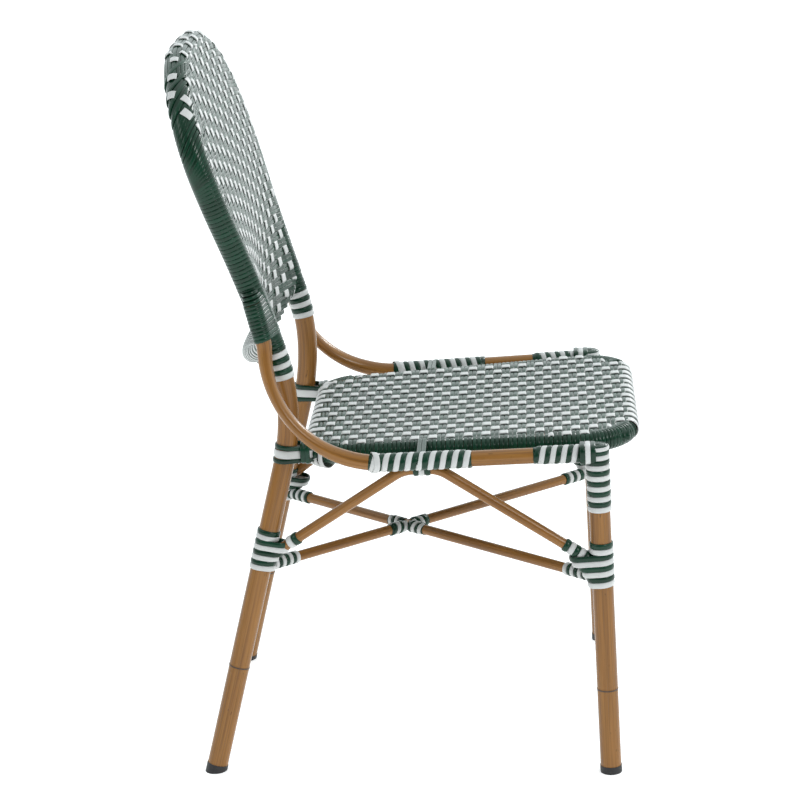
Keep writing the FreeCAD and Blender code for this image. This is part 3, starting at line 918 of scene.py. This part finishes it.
def leg_bindings(side):
    """Stripes at the head of the front leg, and the webs where the braces meet the legs."""
    rear, front = rear_route(side), front_route(side)
    sign = SIGN[side]
    low, high = FRONT_WRAP_Z
    stripes(front, front.s_where(2, low), front.s_where(2, high), LEG_R, "white", 12.9)
    low, high = FRONT_WEB_Z
    webbed(front, front.s_where(2, low), front.s_where(2, high), LEG_R, FRONT_REACH,
           unit(vec(-0.2 * sign, 0.98, 0)), 0.12)
    low, high = REAR_WEB_Z[side]
    webbed(rear, rear.s_where(2, low), rear.s_where(2, high), LEG_R, REAR_REACH[side],
           unit(vec(REAR_WEB_TURN[side] * sign, -0.98, 0)), 0.15)


def brace_bindings(side):
    """Stripes at the ends and the middle of the braces."""
    arch = arch_route(side)
    stripes(arch, 29, 44, BRACE_R, "white", 14.4)
    stripes(arch, arch.length - 48, arch.length - 13.5, BRACE_R, "green", 13.8)
    for end, (reach, pitch) in BRACE_WRAP[side].items():
        cross = Route(resampled(np.array([CROSS_END[(side, end)], CROSS_MID]), 5), (0, 0, 1))
        stripes(cross, 12, reach, BRACE_R, "green", pitch)
        bind(cross, cross.length - 31, cross.length - 4, BRACE_R, 11.0, SIGN[side])
    top = arch.s_where(1, -20.0)
    stripes(arch, top, top + 20.7, BRACE_R, "green", 13.8)


def frame_straps(side):
    """Strands that hold the seat frame and the rail together."""
    rail = rail_route(side)
    sign = SIGN[side]
    for y in (-28, -33.5):
        half, slope = seat_half_width(y)
        p, t = rail.spot(rail.s_where(1, y))
        seat = vec(sign * half, y, seat_plane(y))
        oblong(GREEN, p, RAIL_R - 0.4, seat, RAIL_R + 2.0, vec(0, 1, 0), 5.4, 2.0)


def bindings():
    for side in SIDES:
        hip_binding(side)
        seat_tie(side, TIE_Z[side])
        rail_bindings(side)
        leg_head(side)
        leg_bindings(side)
        brace_bindings(side)
        frame_straps(side)


def leg_plugs():
    """Low black plugs in the heads of the front legs."""
    for side in SIDES:
        front = front_route(side)
        add_tube(PLUGS, front, LEG_R - 1.6, front.s_where(2, HEAD_Z - 14), front.s_where(2, HEAD_Z))


# ---- materials -----------------------------------------------------------------------
def new_material(name):
    mat = bpy.data.materials.new(name)
    mat.use_nodes = True
    nodes = mat.node_tree.nodes
    return mat, nodes, mat.node_tree.links, nodes["Principled BSDF"]


def node(nodes, kind, **values):
    made = nodes.new(kind)
    for key, value in values.items():
        if key in made.inputs:
            made.inputs[key].default_value = value
        else:
            setattr(made, key, value)
    return made


def attribute(nodes, name):
    made = nodes.new("ShaderNodeAttribute")
    made.attribute_name = name
    return made


def stretched(nodes, links, source, scale):
    made = nodes.new("ShaderNodeMapping")
    made.inputs["Scale"].default_value = scale
    links.new(source, made.inputs["Vector"])
    return made.outputs["Vector"]


def ramp(nodes, links, source, stops):
    made = nodes.new("ShaderNodeValToRGB")
    while len(made.color_ramp.elements) < len(stops):
        made.color_ramp.elements.new(0.5)
    for element, (place, colour) in zip(made.color_ramp.elements, stops):
        element.position = place
        element.color = (*colour, 1.0)
    links.new(source, made.inputs["Fac"])
    return made.outputs["Color"]


def mixed(nodes, links, factor, a, b, blend="MIX"):
    made = nodes.new("ShaderNodeMix")
    made.data_type = "RGBA"
    made.blend_type = blend
    for socket, value in (("Factor", factor), ("A", a), ("B", b)):
        target = [s for s in made.inputs if s.name == socket and (
            s.type == ("VALUE" if socket == "Factor" else "RGBA"))][0]
        if hasattr(value, "links"):
            links.new(value, target)
        else:
            target.default_value = value
    return [s for s in made.outputs if s.type == "RGBA"][0]


def noise(nodes, links, vector, scale, detail=2.0, rough=0.5):
    made = node(nodes, "ShaderNodeTexNoise", Scale=scale, Detail=detail, Roughness=rough)
    links.new(vector, made.inputs["Vector"])
    return made.outputs["Fac"]


def bump(nodes, links, bsdf, height, distance, strength=1.0):
    made = node(nodes, "ShaderNodeBump", Strength=strength, Distance=distance)
    links.new(height, made.inputs["Height"])
    links.new(made.outputs["Normal"], bsdf.inputs["Normal"])


def bamboo_material():
    """Printed bamboo finish: lengthwise streaks, tints and a few specks."""
    mat, nodes, links, bsdf = new_material("printed_bamboo")
    coat = attribute(nodes, "coat").outputs["Vector"]
    fine = noise(nodes, links, stretched(nodes, links, coat, (620, 620, 8)), 1.0, 3.0, 0.6)
    broad = noise(nodes, links, stretched(nodes, links, coat, (130, 130, 4)), 1.0, 2.0, 0.5)
    base = ramp(nodes, links, broad, [(0.30, (0.180, 0.077, 0.017)), (0.46, (0.246, 0.109, 0.025)),
                                      (0.60, (0.286, 0.132, 0.032)), (0.75, (0.220, 0.096, 0.023))])
    dark = ramp(nodes, links, fine, [(0.36, (0.55, 0.52, 0.50)), (0.52, (1.0, 1.0, 1.0)),
                                     (0.68, (1.16, 1.14, 1.10))])
    colour = mixed(nodes, links, 0.55, base, dark, "MULTIPLY")
    speck = noise(nodes, links, stretched(nodes, links, coat, (420, 420, 110)), 1.0, 1.0)
    mask = ramp(nodes, links, speck, [(0.73, (0, 0, 0)), (0.78, (0.6, 0.6, 0.6))])
    colour = mixed(nodes, links, mask, colour, (0.07, 0.034, 0.012, 1))
    links.new(colour, bsdf.inputs["Base Color"])
    gloss = ramp(nodes, links, fine, [(0.3, (0.29,) * 3), (0.7, (0.20,) * 3)])
    links.new(gloss, bsdf.inputs["Roughness"])
    bsdf.inputs["Specular IOR Level"].default_value = 0.33
    bump(nodes, links, bsdf, fine, 0.0001, 0.4)
    return mat


def strand_material(name, dark, light, rough, rib, level, depth):
    """Drawn plastic strand: fine ribs along it and tone that varies by strand."""
    mat, nodes, links, bsdf = new_material(name)
    coat = attribute(nodes, "coat").outputs["Vector"]
    tone = attribute(nodes, "tone").outputs["Fac"]
    patch = noise(nodes, links, stretched(nodes, links, coat, (300, 300, 60)), 1.0, 2.0)
    blend = node(nodes, "ShaderNodeMath", operation="MULTIPLY_ADD")
    links.new(tone, blend.inputs[0])
    blend.inputs[1].default_value = 0.5
    half = node(nodes, "ShaderNodeMath", operation="MULTIPLY")
    links.new(patch, half.inputs[0])
    half.inputs[1].default_value = 0.5
    links.new(half.outputs[0], blend.inputs[2])
    links.new(ramp(nodes, links, blend.outputs[0], [(0.2, dark), (0.8, light)]),
              bsdf.inputs["Base Color"])
    bsdf.inputs["Roughness"].default_value = rough
    bsdf.inputs["Specular IOR Level"].default_value = level
    ribs = node(nodes, "ShaderNodeTexNoise", Scale=1.0, Detail=1.0)
    links.new(stretched(nodes, links, coat, (rib, 40, 12)), ribs.inputs["Vector"])
    bump(nodes, links, bsdf, ribs.outputs["Fac"], depth, 0.6)
    return mat


def plain_material(name, low, high, rough, grain):
    mat, nodes, links, bsdf = new_material(name)
    where = node(nodes, "ShaderNodeTexCoord").outputs["Object"]
    spots = noise(nodes, links, where, grain, 3.0)
    links.new(ramp(nodes, links, spots, [(0.3, low), (0.7, high)]), bsdf.inputs["Base Color"])
    bsdf.inputs["Roughness"].default_value = rough
    bump(nodes, links, bsdf, spots, 0.0002, 0.5)
    return mat


def floor_material():
    mat, nodes, links, bsdf = new_material("studio_floor")
    where = node(nodes, "ShaderNodeTexCoord").outputs["Object"]
    spots = noise(nodes, links, where, 3.0, 2.0)
    links.new(ramp(nodes, links, spots, [(0.3, (0.93,) * 3), (0.7, (0.95,) * 3)]),
              bsdf.inputs["Base Color"])
    bsdf.inputs["Roughness"].default_value = 0.9
    bsdf.inputs["Specular IOR Level"].default_value = 0.1
    bsdf.inputs["Emission Color"].default_value = (1, 1, 1, 1)
    bsdf.inputs["Emission Strength"].default_value = 0.42
    return mat


# ---- studio ----------------------------------------------------------------------------
CAMERA_AT = vec(-3.1232, -0.1902 + SHIFT_Y * MM, 1.3458)
CAMERA_YAW, CAMERA_PITCH, CAMERA_ROLL = 0.0618, 0.2890, -0.0526
CAMERA_LENS = 117.0


def camera():
    cy, sy = math.cos(CAMERA_YAW), math.sin(CAMERA_YAW)
    cp, sp = math.cos(CAMERA_PITCH), math.sin(CAMERA_PITCH)
    forward = vec(cy * cp, sy * cp, -sp)
    right = vec(sy, -cy, 0)
    up = np.cross(right, forward)
    cr, sr = math.cos(CAMERA_ROLL), math.sin(CAMERA_ROLL)
    side, head = right * cr + up * sr, -right * sr + up * cr
    data = bpy.data.cameras.new("camera")
    data.lens = CAMERA_LENS
    data.sensor_width = 36.0
    data.clip_end = 60.0
    cam = bpy.data.objects.new("camera", data)
    rows = np.eye(4)
    rows[:3, 0], rows[:3, 1], rows[:3, 2], rows[:3, 3] = side, head, -forward, CAMERA_AT
    cam.matrix_world = Matrix(rows.tolist())
    bpy.context.scene.collection.objects.link(cam)
    bpy.context.scene.camera = cam


def area_light(name, place, target, size, power):
    data = bpy.data.lights.new(name, "AREA")
    data.shape = "DISK"
    data.size = size
    data.energy = power
    lamp = bpy.data.objects.new(name, data)
    lamp.location = place
    lamp.visible_camera = False
    direction = Vector(vec(*target) - vec(*place))
    lamp.rotation_euler = direction.to_track_quat("-Z", "Y").to_euler()
    bpy.context.scene.collection.objects.link(lamp)


def studio_world():
    """Soft daylight that is brightest behind and above the far side."""
    world = bpy.data.worlds.new("studio")
    bpy.context.scene.world = world
    world.use_nodes = True
    nodes, links = world.node_tree.nodes, world.node_tree.links
    where = nodes.new("ShaderNodeTexCoord")
    toward = nodes.new("ShaderNodeVectorMath")
    toward.operation = "DOT_PRODUCT"
    toward.inputs[1].default_value = (0.86, -0.10, 0.50)
    links.new(where.outputs["Generated"], toward.inputs[0])
    glow = nodes.new("ShaderNodeMapRange")
    glow.interpolation_type = "SMOOTHSTEP"
    for key, value in (("From Min", -0.6), ("From Max", 0.9), ("To Min", 0.16), ("To Max", 1.55)):
        glow.inputs[key].default_value = value
    links.new(toward.outputs["Value"], glow.inputs["Value"])
    links.new(glow.outputs["Result"], nodes["Background"].inputs["Strength"])
    nodes["Background"].inputs["Color"].default_value = (0.92, 0.985, 1, 1)


def studio_floor():
    """Wide flat floor of 12 by 12 squares."""
    mesh = bpy.data.meshes.new("studio_floor")
    grid = np.linspace(-30, 30, 13)
    v = [(x, y, 0.0) for x in grid for y in grid]
    n = len(grid)
    f = [(i * n + j, (i + 1) * n + j, (i + 1) * n + j + 1, i * n + j + 1)
         for i in range(n - 1) for j in range(n - 1)]
    mesh.from_pydata(v, [], f)
    mesh.materials.append(floor_material())
    floor = bpy.data.objects.new("studio_floor", mesh)
    bpy.context.scene.collection.objects.link(floor)


def studio():
    bpy.context.scene.view_settings.view_transform = "Standard"
    studio_world()
    middle = (0, 0, 0.5)
    area_light("key", (-2.4, -2.2, 2.6), middle, 1.1, 40)
    area_light("fill", (-1.6, 2.8, 2.4), middle, 1.4, 14)
    area_light("rim", (2.1, -1.25, 1.35), middle, 0.5, 10)
    studio_floor()


def paint(names, material):
    """Gives CAD nodes that stay in view a material of their own."""
    for name in names:
        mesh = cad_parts[name].data
        mesh.materials.clear()
        mesh.materials.append(material)


def both(*stems):
    """Each name for the left and for the right."""
    return [stem + side for stem in stems for side in SIDES]


def main():
    camera()
    studio()
    bamboo = bamboo_material()
    green = strand_material("green_strand", (0.002, 0.022, 0.010), (0.004, 0.040, 0.020), 0.23, 900,
                            0.31, 0.00015)
    white = strand_material("white_strand", (0.53, 0.537, 0.53), (0.60, 0.608, 0.60), 0.42, 900,
                            0.35, 0.0003)
    black = plain_material("foot_rubber", (0.008, 0.008, 0.009), (0.018, 0.018, 0.020), 0.55, 900)
    ring = plain_material("ring_line", (0.05, 0.026, 0.012), (0.08, 0.042, 0.02), 0.4, 400)
    frame_tubes()
    seat_green()
    seat_white()
    back_green()
    back_white()
    hoop_binding()
    low_rail_binding()
    seat_frame_binding()
    corner_turns()
    shoulder_patches()
    bindings()
    leg_plugs()
    TUBES.build("tubes", bamboo, "frame_tube",
                both("rear_leg_", "front_leg_", "side_rail_", "side_arch_")
                + ["cross_brace_long", "cross_brace_rear", "cross_brace_front"])
    SEAT_G.build("seat_green_strands", green, "weave", ["seat_weave", "seat_frame_wrap"])
    SEAT_W.build("seat_white_bands", white, "weave")
    BACK_G.build("back_green_strands", green, "weave", ["back_weave"])
    BACK_W.build("back_white_bands", white, "weave")
    HOOP_G.build("hoop_green_turns", green, "binding", ["back_hoop_wrap", "back_low_rail_wrap"])
    GREEN.build("green_bindings", green, "binding",
                both("rail_binding_", "corner_binding_", "front_leg_binding_",
                     "rear_leg_binding_", "rear_tie_", "rear_leg_wrap_") + ["cross_binding"])
    WHITE.build("white_bindings", white, "binding")
    PLUGS.build("leg_plugs", black, "plug", both("front_leg_plug_"))
    paint(both("foot_cap_rear_", "foot_cap_front_"), black)
    paint(both("leg_ring_rear_", "leg_ring_front_"), ring)
    core = plain_material("core_tube", (0.20, 0.105, 0.045), (0.33, 0.18, 0.08), 0.4, 60)
    paint(["back_hoop", "back_low_rail", "seat_frame", "seat_bar_front", "seat_bar_rear"], core)


main()
